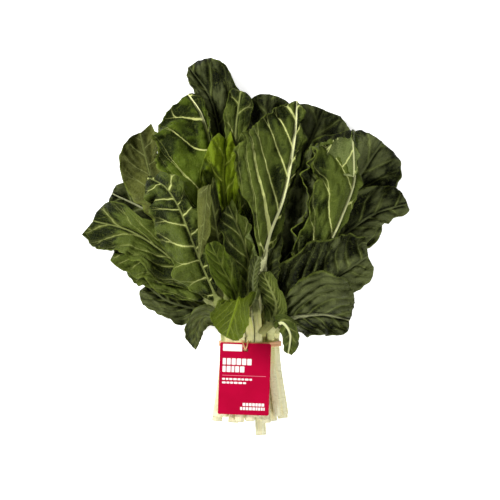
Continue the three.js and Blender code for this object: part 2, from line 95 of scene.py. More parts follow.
# ---- The fine surface ----
SPINE_SAMPLES = 40  # between two points of a leaf's middle line
ROW_STEP = 1.5
STALK_STEP = 3.2
TIP_CROWDING = 0.3  # how much closer the rows stand near the tip, 0 to 1
RIB_COLUMNS = 6
LARGE_COLUMNS = 27
SMALL_COLUMNS = 17
BLADE_HALF_THICKNESS = 0.28
LEAST_BLADE = 0.4  # beyond the rib
RIB_TIP_HALF = 0.6
RIB_TIP_DEPTH = 1.0
CUT_SWELL = 0.13
CUT_SWELL_LENGTH = 60.0

# kinds of unevenness: a number of its own, its size, and its features' length and width in mm
STALK_UNEVEN = (0, 0.03, 23, 1)
LOBES = (0, 0.18, 26, 1)
NOTCHES = (0, 0.09, 10, 1)
VEIN_SWAY = (5, 6.0, 42, 24)
VEIN_SHIVER = (6, 1.5, 14, 9)
GRAIN = (13, 0.5, 3.6, 3.6)
RIBBING_DRIFT = (41, 0.1, 20, 20)
NET_CELL = (6.5, 7.8)
DOME_CELL = (12.0, 14.0)

# ---- The settling ----
AIR = 0.4  # between settled leaves
TIE_ZONE = 18.0  # a stalk isn't lifted below this
FIELD_CELL = 2.0
FIELD_LOW = (-210.0, -140.0)
FIELD_SHAPE = (210, 250)
FOLD_START = 0.3  # the share of a folded leaf's blade before the part that is lifted in one piece
BLOCK = 7  # rows or columns to one control point
SETTLING_ROUNDS = 120
STIFFNESS = 0.985  # how much of its neighbours' mean lift a control point takes on


@dataclass
class Leaf:
    """How one leaf has grown and lies. A pair is for its left and its right half, with the tip up."""

    name: str
    slot: tuple  # its stalk's row and its place in the row
    tone: str
    rib: list  # the points that its rib passes through above the band
    wide: tuple  # the blade's usual half widths where it is widest
    peak: float  # where along the blade that is, 0 to 1
    fold: tuple  # how steeply the halves leave the rib, in degrees
    curl: tuple  # how far they have curled on at the margin, in degrees
    roll: tuple = (0, 0)  # how far the leaf is turned about its rib, at its base and its tip
    small: bool = False
    folded: bool = False  # back over itself
    veins: tuple = (8, 0.9, 0.5)  # how many on each side, how they slant, and how they bend on
    cut: float = 0.0  # the stalk's length below the band, 0 for the usual one
    ruffle: float = 0.0  # the height of the margin's waves, likewise
    quilt: float = 0.0  # the height of the domes between the veins, likewise
    buckle: float = 0.0  # the share of the pile's buckles that it takes on, likewise
    pale: float = 0.35  # how bold its side veins are
    rib_pale: float = -1.0  # how cream its rib is, or below 0 where that is the same as pale
    rib_size: float = 1.0  # the rib's width on the blade against the usual
    blunt: float = 0.34  # the lower, the blunter the tip and base
    rolled: float = 25.0  # how strong the painted highlight along the margin is
    margin_highlight: float = 0.4  # how plain the light line along the margin is
    main_vein: tuple = ()  # the side, -1 or 1, and the number of one extra bold vein


# name, slot, tone and rib, then wide, peak, fold and curl, then what is unusual
LEAVES = [
    Leaf("leaf_low_left", (0, 0), "dark", [(-26, 27, 3), (-58, 36, 5), (-89, 45, 6), (-113, 62, 4)],
         (26, 24), 0.6, (10, 10), (20, 10), veins=(7, 0.9, 0.5)),
    Leaf("leaf_far_left", (0, 1), "dark", [(-37, 59, 4), (-74, 101, 5), (-110, 141, 5), (-150, 162, 3)],
         (34, 32), 0.68, (4, 6), (4, 10), veins=(7, 0.9, 0.4), pale=0.7),
    Leaf("leaf_tallest", (0, 2), "dark", [(-5, 50, 4), (-20, 140, 6), (-32, 222, 8), (-44, 267, 12),
          (-66, 298, 16)],
         (22, 33), 0.84, (10, 10), (15, 30), roll=(0, 10), veins=(8, 0.9, 0.5), blunt=0.27),
    Leaf("leaf_back_centre", (0, 3), "dark", [(4, 45, 4), (8, 120, 6), (14, 205, 8), (22, 268, 6)],
         (32, 34), 0.66, (8, 8), (10, 10), blunt=0.26, quilt=1.4, ruffle=3.0),
    Leaf("leaf_back_right", (0, 4), "dark", [(13, 48, 4), (32, 125, 6), (58, 200, 6), (80, 252, 4)],
         (42, 52), 0.7, (6, 4), (8, 8), veins=(8, 1.0, 0.4), blunt=0.24, quilt=1.4, ruffle=3.0),
    Leaf("leaf_far_right", (0, 5), "dark", [(32, 46, 4), (80, 120, 6), (119, 182, 6), (142, 216, 3)],
         (58, 50), 0.68, (4, 2), (10, -6), veins=(8, 1.0, 0.4), blunt=0.24),

    Leaf("leaf_left_under", (1, 0), "mid", [(-40, 44, 3), (-82, 68, 5), (-108, 77, 5), (-133, 78, 3)],
         (22, 18), 0.6, (8, 8), (12, 12), veins=(7, 1.0, 0.4), quilt=1.4, ruffle=3.0),
    Leaf("leaf_left_low_fan", (1, 1), "mid", [(-46, 50, 3), (-82, 84, 6), (-112, 100, 7), (-146, 99, 5)],
         (34, 20), 0.6, (10, 10), (12, 14), veins=(5, 1.8, 0.3), pale=0.5, rib_size=0.7),
    Leaf("leaf_left_fan", (1, 2), "mid", [(-42, 56, 3), (-84, 92, 6), (-126, 120, 8), (-169, 132, 6)],
         (34, 26), 0.7, (14, 12), (20, 16), veins=(5, 2.0, 0.3), pale=0.3, rib_size=0.6, blunt=0.28),
    Leaf("leaf_top_inner", (1, 3), "mid", [(-7, 80, 4), (-13, 164, 8), (-15, 227, 12), (-10, 271, 10)],
         (18, 18), 0.7, (12, 14), (25, 30), quilt=1.4, ruffle=3.0),
    Leaf("leaf_right_lobe", (1, 4), "dark", [(34, 48, 3), (84, 102, 5), (131, 138, 5), (169, 150, 4)],
         (34, 22), 0.55, (6, 6), (8, 8), cut=99, blunt=0.26),
    Leaf("leaf_right_low", (1, 5), "dark", [(35, 36, 3), (70, 60, 5), (98, 77, 6), (124, 94, 4)],
         (46, 26), 0.64, (8, 8), (12, 20), veins=(7, 0.8, 0.5), blunt=0.26),
    Leaf("leaf_right_bottom", (1, 6), "dark", [(37, 27, 3), (56, 32, 6), (78, 33, 8), (105, 26, 4)],
         (44, 24), 0.58, (10, 8), (10, 14), veins=(5, 0.9, 0.5), blunt=0.28, rib_pale=0.6, quilt=3.6),

    Leaf("leaf_left_tip", (2, 0), "dark", [(-33, 24, 3), (-48, 30, 6), (-57, 17, 6), (-58, -6, 3)],
         (11, 12), 0.35, (10, 10), (10, 10), small=True, veins=(5, 1.2, 0.3), pale=0.1, blunt=0.8,
         rib_size=0.5),
    Leaf("leaf_left_back", (2, 1), "olive", [(-42, 59, 4), (-79, 122, 8), (-103, 174, 12), (-118, 226, 12)],
         (28, 30), 0.66, (-10, -10), (-16, -16), roll=(60, 175)),
    Leaf("leaf_upper_left", (2, 2), "light", [(-27, 80, 4), (-33, 132, 8), (-34, 176, 12), (-42, 216, 14),
          (-52, 246, 12), (-66, 267, 8)],
         (60, 9), 0.7, (6, 10), (0, 20), veins=(5, 0.0, 1.6), pale=2.2, rib_size=0.8),
    Leaf("leaf_centre_left_back", (2, 3), "bright", [(-22, 86, 4), (-25, 138, 10), (-28, 178, 14),
          (-25, 218, 10)],
         (24, 20), 0.6, (8, 14), (20, 30), veins=(5, 1.0, 0.5), pale=0.7, rib_pale=0.2, rolled=40),
    Leaf("leaf_centre_small_back", (2, 4), "dark", [(19, 48, 4), (19, 80, 8), (25, 106, 10), (29, 130, 8)],
         (12, 12), 0.5, (35, 35), (20, 20), small=True, quilt=1.4, ruffle=3.0),
    Leaf("leaf_right_shadow", (2, 5), "dark", [(35, 42, 4), (52, 88, 8), (67, 138, 10), (74, 185, 10),
          (76, 212, 6)],
         (26, 20), 0.5, (14, 8), (75, 8), ruffle=6.5, pale=0.2, margin_highlight=1.0),
    Leaf("leaf_right_front", (2, 6), "mid", [(46, 46, 4), (74, 88, 10), (98, 140, 14), (109, 172, 15),
          (109, 200, 17), (108, 216, 20), (107, 221, 27), (107, 211, 33), (108, 190, 32), (108, 176, 27)],
         (46, 5), 0.7, (4, -40), (22, -30), folded=True, veins=(6, 1.3, 0.3), pale=0.8, ruffle=3.0,
         rib_size=0.7, rolled=0, blunt=0.24),

    Leaf("leaf_left_front", (3, 0), "mid", [(-34, 48, 4), (-50, 85, 9), (-62, 117, 13), (-75, 148, 14),
          (-88, 166, 12), (-106, 176, 7)],
         (34, 18), 0.6, (-4, -40), (-26, -40), veins=(8, 0.4, 0.2), pale=0.7, rib_pale=0.1, rib_size=0.5,
         rolled=0),
    Leaf("leaf_folded_over", (3, 1), "olive", [(-23, 48, 3), (-32, 108, 4), (-38, 146, 7), (-41, 160, 11),
          (-42, 166, 17), (-43, 158, 24), (-46, 128, 23), (-51, 92, 16)],
         (11, 9), 0.5, (-4, -4), (-10, -10), folded=True, ruffle=2.5, quilt=0.7, blunt=0.6, rib_size=0.6),
    Leaf("leaf_centre_narrow", (3, 2), "mid", [(-3, 59, 3), (-2, 90, 7), (-10, 117, 9), (-22, 146, 8)],
         (19, 17), 0.55, (10, 14), (20, 24), small=True, ruffle=5.0, rolled=60, veins=(5, 1.3, 0.3),
         pale=0.3, rib_size=0.6),
    Leaf("leaf_centre_front", (3, 3), "mid", [(13, 82, 4), (21, 117, 8), (35, 153, 14), (44, 195, 18),
          (49, 232, 18), (50, 260, 14)],
         (60, 18), 0.64, (4, -50), (14, -50), veins=(6, 1.75, 0.3), pale=1.1, blunt=0.8, rolled=50,
         rib_size=0.8, main_vein=(-1, 1)),
    Leaf("leaf_centre_small_front", (3, 4), "mid", [(21, 24, 3), (27, 43, 6), (21, 61, 8), (13, 78, 7)],
         (15, 15), 0.5, (10, 10), (24, 24), small=True, ruffle=5.0, rolled=60, pale=0.2),
    Leaf("leaf_right_tip", (3, 5), "mid", [(26, 21, 4), (33, 26, 8), (41, 15, 8), (40, -7, 3)],
         (13, 8), 0.4, (4, 4), (4, 4), small=True, veins=(4, 1.0, 0.3), pale=0.15, rib_pale=0.9, margin_highlight=0.2),

    Leaf("leaf_oval", (4, 0), "young", [(-13, 48, 3), (-19, 64, 6), (-29, 84, 8), (-40, 108, 7)],
         (14, 15), 0.5, (10, 14), (24, 24), small=True, ruffle=2.5, veins=(5, 1.1, 0.3), pale=0.25,
         rib_size=0.6),
    Leaf("leaf_centre_dark", (4, 2), "dark", [(5, 48, 3), (3, 66, 6), (5, 82, 7), (9, 94, 6)],
         (9, 9), 0.5, (14, 14), (30, 30), small=True),
    Leaf("leaf_front_drooping", (4, 1), "bright", [(-9, 42, 3), (-10, 50, 5), (-11, 50, 9), (-14, 41, 10),
          (-19, 27, 8), (-24, 11, 4)],
         (30, 28), 0.6, (-4, -4), (-10, -10), small=True, folded=True, ruffle=2.5, quilt=1.0,
         veins=(5, 1.0, 0.3), pale=0.3, buckle=0.15),
]

# leaves that are laid out of turn, after the leaf with the whole number below
LAID_AFTER = {"leaf_right_shadow": 10.3, "leaf_right_front": 10.6}

SLOT_OF_TONE = {
    "dark": "dark_green_leaf",
    "mid": "mid_green_leaf",
    "light": "light_green_leaf",
    "bright": "young_yellow_green_leaf",
    "young": "young_yellow_green_leaf",
    "olive": "grey_green_leaf_back",
}


# ---- Small tools ----

def mix(a, b, x):
    return a + (b - a) * x


def smooth(x, low=0.0, high=1.0):
    x = np.clip((x - low) / (high - low), 0.0, 1.0)
    return x * x * (3.0 - 2.0 * x)


def lattice(ix, iy, seed):
    """A repeatable random number from 0 to 1 for each whole-numbered place."""
    h = (ix.astype(np.int64) * 374761393 + iy.astype(np.int64) * 668265263 + seed * 974634777) & 0xFFFFFFFF
    h = ((h ^ (h >> 13)) * 1274126177) & 0xFFFFFFFF
    h = ((h ^ (h >> 16)) * 2246822519) & 0xFFFFFFFF
    return ((h ^ (h >> 15)) & 0xFFFFFF) / float(0xFFFFFF)


def noise(x, y, seed):
    """Smooth noise from -1 to 1 with one feature to a unit."""
    x, y = np.broadcast_arrays(np.asarray(x, float), np.asarray(y, float))
    ix, iy = np.floor(x), np.floor(y)
    fx, fy = smooth(x - ix), smooth(y - iy)
    low = mix(lattice(ix, iy, seed), lattice(ix + 1, iy, seed), fx)
    high = mix(lattice(ix, iy + 1, seed), lattice(ix + 1, iy + 1, seed), fx)
    return 2.0 * mix(low, high, fy) - 1.0


def cells(x, y, seed):
    """How far each place is from the edge of its irregular cell, one unit across, and the cell's number."""
    ix, iy = np.floor(x), np.floor(y)
    nearest = np.full(x.shape, np.inf)
    second = np.full(x.shape, np.inf)
    owner = np.zeros(x.shape)
    for dx in (-1, 0, 1):
        for dy in (-1, 0, 1):
            cx, cy = ix + dx, iy + dy
            px = cx + 0.15 + 0.7 * lattice(cx, cy, seed)
            py = cy + 0.15 + 0.7 * lattice(cx, cy, seed + 1)
            far = np.hypot(px - x, py - y)
            closer = far < nearest
            second = np.where(closer, nearest, np.minimum(second, far))
            owner = np.where(closer, lattice(cx, cy, seed + 2), owner)
            nearest = np.where(closer, far, nearest)
    return second - nearest, owner


def unit(v):
    return v / np.maximum(np.linalg.norm(v, axis=-1, keepdims=True), 1e-12)


def smooth_curve(points, per):
    """A centripetal Catmull-Rom curve through the points, sampled per times in each span."""
    p = np.asarray(points, float)
    p = np.vstack([2 * p[0] - p[1], p, 2 * p[-1] - p[-2]])
    s = np.linspace(0, 1, per, endpoint=False)[:, None]
    spans = []
    for p0, p1, p2, p3 in zip(p, p[1:], p[2:], p[3:]):
        d0, d1, d2 = (np.linalg.norm(b - a) ** 0.5 for a, b in ((p0, p1), (p1, p2), (p2, p3)))
        m1 = ((p1 - p0) / d0 - (p2 - p0) / (d0 + d1) + (p2 - p1) / d1) * d1
        m2 = ((p2 - p1) / d1 - (p3 - p1) / (d1 + d2) + (p3 - p2) / d2) * d1
        bend = (3 * (p2 - p1) - 2 * m1 - m2) * s**2 + (2 * (p1 - p2) + m1 + m2) * s**3
        spans.append(p1 + m1 * s + bend)
    return np.vstack(spans + [p[-2:-1]])


def carried_frames(places, turn):
    """Side and up directions at each place, carried along without twisting and then rolled by turn."""
    along = unit(np.gradient(places, axis=0))
    up = np.array([0.0, 0.0, 1.0])
    sides, ups = [], []
    for direction, angle in zip(along, turn):
        up = up - direction * up.dot(direction)
        up = up / np.linalg.norm(up)
        side = np.cross(direction, up)
        sides.append(side * math.cos(angle) + np.cross(direction, side) * math.sin(angle))
        ups.append(up * math.cos(angle) + np.cross(direction, up) * math.sin(angle))
    return np.array(sides), np.array(ups)


# ---- One leaf ----

def slot_place(slot):
    row, column = slot
    x = (column - (ROW_SIZES[row] - 1) / 2) * SLOT_PITCH
    return np.array([x, 0.0, BAND_THICKNESS + BAND_CLEARANCE + STALK_DEPTH * STALK_BELOW + row * ROW_PITCH])


def leaf_spine(leaf):
    """The leaf's middle line from its cut end to its tip, and where on it the blade begins."""
    slot = slot_place(leaf.slot)
    row, column = leaf.slot
    cut = leaf.cut or CUT_LENGTH + CUT_UNEVEN * math.sin(2.3 * column + 1.7 * row)
    rib = []
    for x, y, z in leaf.rib:
        reach = min(math.hypot(x - slot[0], y) / SLUMP_LENGTH, 1.0)
        rib.append((x, y, slot[2] * (1 - SLUMP * reach) + z - 4))
    points = [(slot[0] * CUT_SPREAD, -cut, slot[2] - 1.2)]
    points += [(slot[0], y, slot[2]) for y in (-NECK, NECK)]
    if rib[0][1] > 2.5 * NECK:
        lean = (rib[0][0] - slot[0]) / rib[0][1]
        points.append((slot[0] + lean * NECK * 0.8, 2 * NECK, slot[2] + 0.5))
    return smooth_curve(points + rib, SPINE_SAMPLES), len(points) * SPINE_SAMPLES


def leaf_rows(leaf):
    """The rows' distances from the cut end and their frames, and the lengths of the stalk and the blade."""
    curve, base = leaf_spine(leaf)
    length = np.concatenate([[0], np.cumsum(np.linalg.norm(np.diff(curve, axis=0), axis=1))])
    stalk, blade = length[base], length[-1] - length[base]
    stalk_rows = np.linspace(0, stalk, int(stalk / STALK_STEP), endpoint=False)
    even = np.linspace(0, 1, int(blade / ROW_STEP) + 2)
    blade_rows = stalk + blade * mix(even, np.sin(even * math.pi / 2), TIP_CROWDING)
    rows = np.concatenate([stalk_rows, blade_rows])
    place = np.stack([np.interp(rows, length, curve[:, i]) for i in range(3)], axis=1)
    roll_start, roll_end = leaf.roll
    t = (rows - stalk) / blade
    onset = smooth(rows, stalk * 0.6, stalk)
    turn = np.where(t < 0, roll_start * onset, mix(roll_start, roll_end, np.clip(t, 0, 1)))
    return rows, place, carried_frames(place, np.radians(turn)), stalk, blade


def uneven(kind, along, across, seed):
    """Noise of one kind, at places in mm."""
    number, size, length, width = kind
    return size * noise(along / length, across / width, seed + number)


def half_leaf(leaf, hand, rows, t, rib_half, seed):
    """One half of the rib and blade, from the rib's middle out to the margin.

    Its grids: the way from the rib's middle along the skin, across and up, how wide the half is there, how
    much of it is blade (0 on the stalk), its usual width, and its hand.
    """
    side = 0 if hand < 0 else 1
    usual = leaf.wide[side]
    columns = RIB_COLUMNS + (SMALL_COLUMNS if leaf.small else LARGE_COLUMNS)
    power = math.log(0.5) / math.log(leaf.peak)
    outline = np.sin(math.pi * np.clip(t, 0, 1)**power) ** leaf.blunt
    lobes = 1 + uneven(LOBES, rows, 3.5, seed + hand) + uneven(NOTCHES, rows, 7.5, seed + hand)
    half = np.maximum(usual * outline * lobes, rib_half + LEAST_BLADE * (t > 0))
    spread = smooth((half - rib_half) / (1.5 * rib_half))
    half, rib_half, spread = half[:, None], rib_half[:, None], spread[:, None]
    # on the stalk all columns go round it, and on the blade all but RIB_COLUMNS of them are the blade's
    k = np.arange(columns + 1)
    turned = mix(columns, RIB_COLUMNS, spread)
    in_rib = rib_half * np.sin(math.pi / 2 * np.minimum(k / turned, 1))
    reach = in_rib + (half - rib_half) * np.clip((k - turned) / np.maximum(columns - turned, 1e-6), 0, 1)
    middle = (reach[:, 1:] + reach[:, :-1]) / 2
    lift_off = smooth(middle / rib_half, 0.3, 1.3) * spread
    rolled = leaf.rolled * np.clip(1.6 * noise(rows / 30, 11.5, seed + 3 * hand), -0.5, 1)[:, None]
    bent = leaf.fold[side] * lift_off + leaf.curl[side] * middle / usual + rolled * (middle / half) ** 6
    angle = np.radians(bent)
    step = np.diff(reach, axis=1)
    start = np.zeros((len(rows), 1))
    across = hand * np.hstack([start, np.cumsum(np.cos(angle) * step, axis=1)])
    rise = np.hstack([start, np.cumsum(np.sin(angle) * step, axis=1)])
    every = np.ones_like(reach)
    return np.stack([reach, across, rise, half * every, spread * every, usual * every, hand * every])


def add_veins(leaf, grid, blade, seed):
    """Numbers the side veins: one runs wherever the phase is whole, and forks towards the margin."""
    count, slant, bend = leaf.veins
    grid.stretch = math.sqrt(1 + slant**2)
    across = grid.hand * grid.beyond
    wobble = uneven(VEIN_SWAY, grid.along, across, seed) + uneven(VEIN_SHIVER, grid.along, across, seed)
    origin = (grid.along - slant * grid.beyond - bend * grid.beyond**2 / grid.usual + wobble) / blade
    grid.phase = count * origin + 0.3 * noise(count * origin, grid.hand * 2.5, seed + 7) + 0.2 * grid.hand
    grid.pitch = blade / count / grid.stretch
    grid.fork = 0.23 * smooth(grid.outward, 0.5, 1.05)
    past = grid.phase + 0.5
    grid.off_vein = np.abs(np.abs(past - np.floor(past) - 0.5) - grid.fork) * grid.pitch


def leaf_relief(leaf, grid, surface, seed):
    """How far the skin stands out: domed between the veins, creased, waved and buckled."""
    usual_quilt, usual_ruffle, usual_buckle = (1.4, 3.5, 0.5) if leaf.small else (2.4, 6.0, 1.0)
    quilt, ruffle = leaf.quilt or usual_quilt, leaf.ruffle or usual_ruffle
    along, beyond, outward, hand = grid.along, grid.beyond, grid.outward, grid.hand
    across = hand * beyond
    along_veins, stretched = grid.phase * grid.pitch, hand * grid.stretch
    grid.edge, owner = cells(along_veins / NET_CELL[0], stretched * (beyond + 20) / NET_CELL[1], seed + 11)
    domes, _ = cells(along_veins / DOME_CELL[0], stretched * (beyond + 30) / DOME_CELL[1], seed + 29)
    valleys = 0.8 * smooth(grid.off_vein, 0, 6) * (1 - 0.5 * outward)
    creases = 1 - np.abs(noise(along / 26 + 4, across / 17, seed + 31))
    drift = uneven(RIBBING_DRIFT, along, across, seed)
    ribbing = 0.6 * outward * np.cos(2 * math.pi * (grid.phase + drift))
    relief = valleys + 0.8 * smooth(domes, 0, 0.7) + 0.35 * smooth(grid.edge, 0, 0.6)
    relief = quilt * (relief + 1.1 * creases**3 - ribbing) + uneven(GRAIN, along, across, seed)

    wave = noise(along / 13, hand * 2.5 + beyond / 60, seed + 17)
    wave = wave + 0.5 * noise(along / 5.5, hand * 4.5 + beyond / 30, seed + 19)
    sway = noise(along / 46, hand * 3.5 + beyond / 200, seed + 37)
    on_blade = smooth(beyond, 0.5, 4) * grid.spread
    margin = ruffle * (wave * outward**1.5 + 2.0 * sway * outward**1.2)
    relief = relief * on_blade + margin * grid.spread

    # the leaves buckle together where they lie on one another, so this depends on the place alone
    x, y = surface[..., 0], surface[..., 1]
    buckle = 7.0 * noise(x / 30 + 9, y / 42, 23) + 3.5 * noise(x / 15, y / 19 + 5, 43)
    relief = relief + (leaf.buckle or usual_buckle) * buckle * smooth(beyond, 0, 12) * grid.spread
    middling = (relief * on_blade).sum() / on_blade.sum()
    # painted shade: a value that is lower in the relief's valleys and higher on its ridges, with a random
    # tone for each net cell
    grid.crumple = np.clip(0.5 + 0.15 * (relief - middling) + 0.15 * (owner - 0.5), 0, 1)
    return relief


def vein_boldness(leaf, grid):
    boldness = np.full_like(grid.outward, leaf.pale)
    if leaf.main_vein:
        hand, number = leaf.main_vein
        chosen = (grid.hand == hand) * (1 - smooth(np.abs(grid.phase - number), 0.3, 0.5))
        boldness = boldness * (1 + 5.0 * chosen)
    return boldness


def facing(surface):
    """The directions that the surface's places face."""
    return unit(np.cross(np.gradient(surface, axis=1), np.gradient(surface, axis=0)))


def leaf_surface(leaf, number):
    """The unsettled leaf: its faces, its rows' places, where it is blade, and its material's facts."""
    seed = 100 * (number + 1)
    rows, place, (side, up), stalk, blade = leaf_rows(leaf)
    t = (rows - stalk) / blade
    inside = np.clip(t, 0, 1)
    scale = SMALL_STALK if leaf.small else 1.0
    swell = 1 + CUT_SWELL * smooth(-rows, -CUT_SWELL_LENGTH, 0) + uneven(STALK_UNEVEN, rows, 0.5, seed)
    rib_half = mix(STALK_WIDTH * scale / 2, RIB_TIP_HALF, inside**0.2) * np.where(t < 0, swell, 1)
    rib_half = rib_half * mix(1, leaf.rib_size, smooth(t, 0, 0.1))
    rib_depth = mix(STALK_DEPTH * scale, RIB_TIP_DEPTH, inside**0.45)[:, None]

    left, right = (half_leaf(leaf, hand, rows, t, rib_half, seed) for hand in (-1, 1))
    reach, across, rise, half, spread, usual, hand = np.concatenate([left[..., :0:-1], right], axis=-1)
    rib_half = rib_half[:, None]
    surface = place[:, None] + side[:, None] * across[..., None] + up[:, None] * rise[..., None]
    beyond = np.maximum(reach - rib_half, 0)
    outward = np.clip(beyond / np.maximum(half - rib_half, 1e-3), 0, 1) * smooth(half - rib_half, 0, 2)
    along = (rows - stalk)[:, None] * np.ones_like(reach)
    grid = SimpleNamespace(along=along, beyond=beyond, outward=outward, hand=hand, spread=spread)
    grid.usual = usual
    add_veins(leaf, grid, blade, seed)
    relief = leaf_relief(leaf, grid, surface, seed)
    fibres = 0.14 * np.cos(13 * np.arcsin(np.clip(reach / rib_half, 0, 1))) * (1 - spread)
    surface = surface + facing(surface) * (relief + fibres)[..., None]

    # the two faces stand off the surface by the rib's half depths or the blade's, and meet at the margins
    bulge = np.sqrt(np.clip(1 - (reach / rib_half) ** 2, 0, 1))
    above = rib_depth * mix(0.4 * np.sqrt(bulge), 0.2 * bulge, spread)
    below = rib_depth * mix(STALK_BELOW * bulge, 0.7 * bulge, spread)
    normal = facing(surface)
    faces = []
    for thickness, way in ((above, 1), (below, -1)):
        thickness = np.maximum(thickness, BLADE_HALF_THICKNESS * spread)
        thickness[:, [0, -1]] = 0
        faces.append(surface + way * normal * thickness[..., None])

    rib = (1 - smooth(reach / rib_half, 0.85, 1.35)) * spread + (1 - spread)
    cream = leaf.pale if leaf.rib_pale < 0 else leaf.rib_pale
    everywhere = np.ones_like(reach)
    facts = dict(
        vein=np.stack([grid.phase, grid.fork, grid.pitch * everywhere], axis=-1),
        place=np.stack([outward, vein_boldness(leaf, grid), rib], axis=-1),
        cell=np.stack([grid.edge, grid.crumple, 7.3 * number * everywhere], axis=-1),
        flesh=np.stack([along, hand * reach, cream * everywhere], axis=-1),
    )
    return *faces, t, spread, facts


# ---- Settling ----

class Pile:
    """How high the leaves laid so far reach, over each small square of the surface."""

    def __init__(self):
        self.height = np.full(FIELD_SHAPE, -AIR)

    def squares(self, points):
        i = np.clip(((points[..., 0] - FIELD_LOW[0]) / FIELD_CELL).astype(int), 1, FIELD_SHAPE[0] - 2)
        j = np.clip(((points[..., 1] - FIELD_LOW[1]) / FIELD_CELL).astype(int), 1, FIELD_SHAPE[1] - 2)
        return i, j

    def under(self, points, spread):
        """The height under each place: on a blade, the most of its square's and its neighbours'."""
        wide = self.height.copy()
        for di in (-1, 0, 1):
            for dj in (-1, 0, 1):
                wide = np.maximum(wide, np.roll(self.height, (di, dj), (0, 1)))
        i, j = self.squares(points)
        return np.where(spread > 0.3, wide[i, j], self.height[i, j])

    def add(self, points):
        i, j = self.squares(points)
        np.maximum.at(self.height, (i.ravel(), j.ravel()), points[..., 2].ravel())


def spread_lift(need, held, one_piece, plan):
    """The control points' lift: at least their need, and eased so that neighbours rise alike.

    Their lifts differ by no more than their distance in plan, or the leaf would pass through itself.
    """
    between_rows = np.linalg.norm(np.diff(plan, axis=0), axis=-1)
    between_columns = np.linalg.norm(np.diff(plan, axis=1), axis=-1)
    need[held] = 0
    lift = need.copy()
    for _ in range(SETTLING_ROUNDS):
        padded = np.pad(lift, 1, mode="edge")
        mean = (padded[:-2, 1:-1] + padded[2:, 1:-1] + padded[1:-1, :-2] + padded[1:-1, 2:]) / 4
        lift = np.maximum(need, mean * STIFFNESS)
        lift[1:] = np.maximum(lift[1:], lift[:-1] - between_rows)
        lift[:-1] = np.maximum(lift[:-1], lift[1:] - between_rows)
        lift[:, 1:] = np.maximum(lift[:, 1:], lift[:, :-1] - between_columns)
        lift[:, :-1] = np.maximum(lift[:, :-1], lift[:, 1:] - between_columns)
        lift[held] = 0
        if one_piece.any():
            lift[one_piece] = lift.max()
    return lift


def settle(top, bottom, t, spread, folded, pile):
    """Lifts both faces so that they lie just clear of the pile, and adds them to it."""
    low = np.where((bottom[..., 2] < top[..., 2])[..., None], bottom, top)
    lack = pile.under(low, spread) + AIR - low[..., 2]
    tied = (t < 0) & (low[:, low.shape[1] // 2, 1] < TIE_ZONE)
    lack[tied] = 0
    rows, columns = lack.shape
    many = (-(-rows // BLOCK) + 1, -(-columns // BLOCK) + 1)
    need = np.zeros(many)
    for i, j in np.ndindex(many):
        near_rows = slice(max(i - 1, 0) * BLOCK, (i + 1) * BLOCK + 1)
        near_columns = slice(max(j - 1, 0) * BLOCK, (j + 1) * BLOCK + 1)
        need[i, j] = lack[near_rows, near_columns].max(initial=0)
    at_row = np.minimum(np.arange(many[0]) * BLOCK, rows - 1)
    at_column = np.minimum(np.arange(many[1]) * BLOCK, columns - 1)
    plan = low[at_row][:, at_column][..., :2]
    lift = spread_lift(need, tied[at_row], folded & (t[at_row] >= FOLD_START), plan)

    # from the control points to every row and column
    ri, ci = np.arange(rows) / BLOCK, np.arange(columns) / BLOCK
    i, j = np.minimum(ri.astype(int), many[0] - 2), np.minimum(ci.astype(int), many[1] - 2)
    fi, fj = (ri - i)[:, None], (ci - j)[None, :]
    before, after = lift[i], lift[i + 1]
    fine = (
        before[:, j] * (1 - fi) * (1 - fj) + after[:, j] * fi * (1 - fj)
        + before[:, j + 1] * (1 - fi) * fj + after[:, j + 1] * fi * fj
    )
    top[..., 2] += fine
    bottom[..., 2] += fine
    pile.add(top)
    pile.add(bottom)


# ---- Meshes ----

def new_object(name, points, quads, triangles=(), facts=None):
    """A smooth-shaded mesh object from points in the layout's millimetres."""
    mesh = bpy.data.meshes.new(name)
    points = np.asarray(points, float).reshape(-1, 3) * MM + SHIFT
    quads = np.asarray(quads, int).reshape(-1, 4)
    triangles = np.asarray(triangles, int).reshape(-1, 3)
    corners = np.concatenate([quads.ravel(), triangles.ravel()])
    sizes = np.concatenate([np.full(len(quads), 4), np.full(len(triangles), 3)])
    mesh.vertices.add(len(points))
    mesh.vertices.foreach_set("co", points.ravel())
    mesh.loops.add(len(corners))
    mesh.loops.foreach_set("vertex_index", corners)
    mesh.polygons.add(len(sizes))
    mesh.polygons.foreach_set("loop_start", np.concatenate([[0], np.cumsum(sizes)[:-1]]))
    mesh.polygons.foreach_set("use_smooth", np.ones(len(sizes), bool))
    mesh.update(calc_edges=True)
    for key, value in (facts or {}).items():
        mesh.attributes.new(key, "FLOAT_VECTOR", "POINT").data.foreach_set("vector", value.ravel())
    mesh.validate()
    piece = bpy.data.objects.new(name, mesh)
    bpy.context.scene.collection.objects.link(piece)
    return piece


def ring_quads(rings, around, closed=False):
    """The quads between one ring of points and the next, and if closed from the last to the first."""
    i = np.arange(rings if closed else rings - 1)[:, None]
    j = np.arange(around)
    here, ahead, after = i * around, (i + 1) % rings * around, (j + 1) % around
    return np.stack([here + j, here + after, ahead + after, ahead + j], axis=-1).reshape(-1, 4)


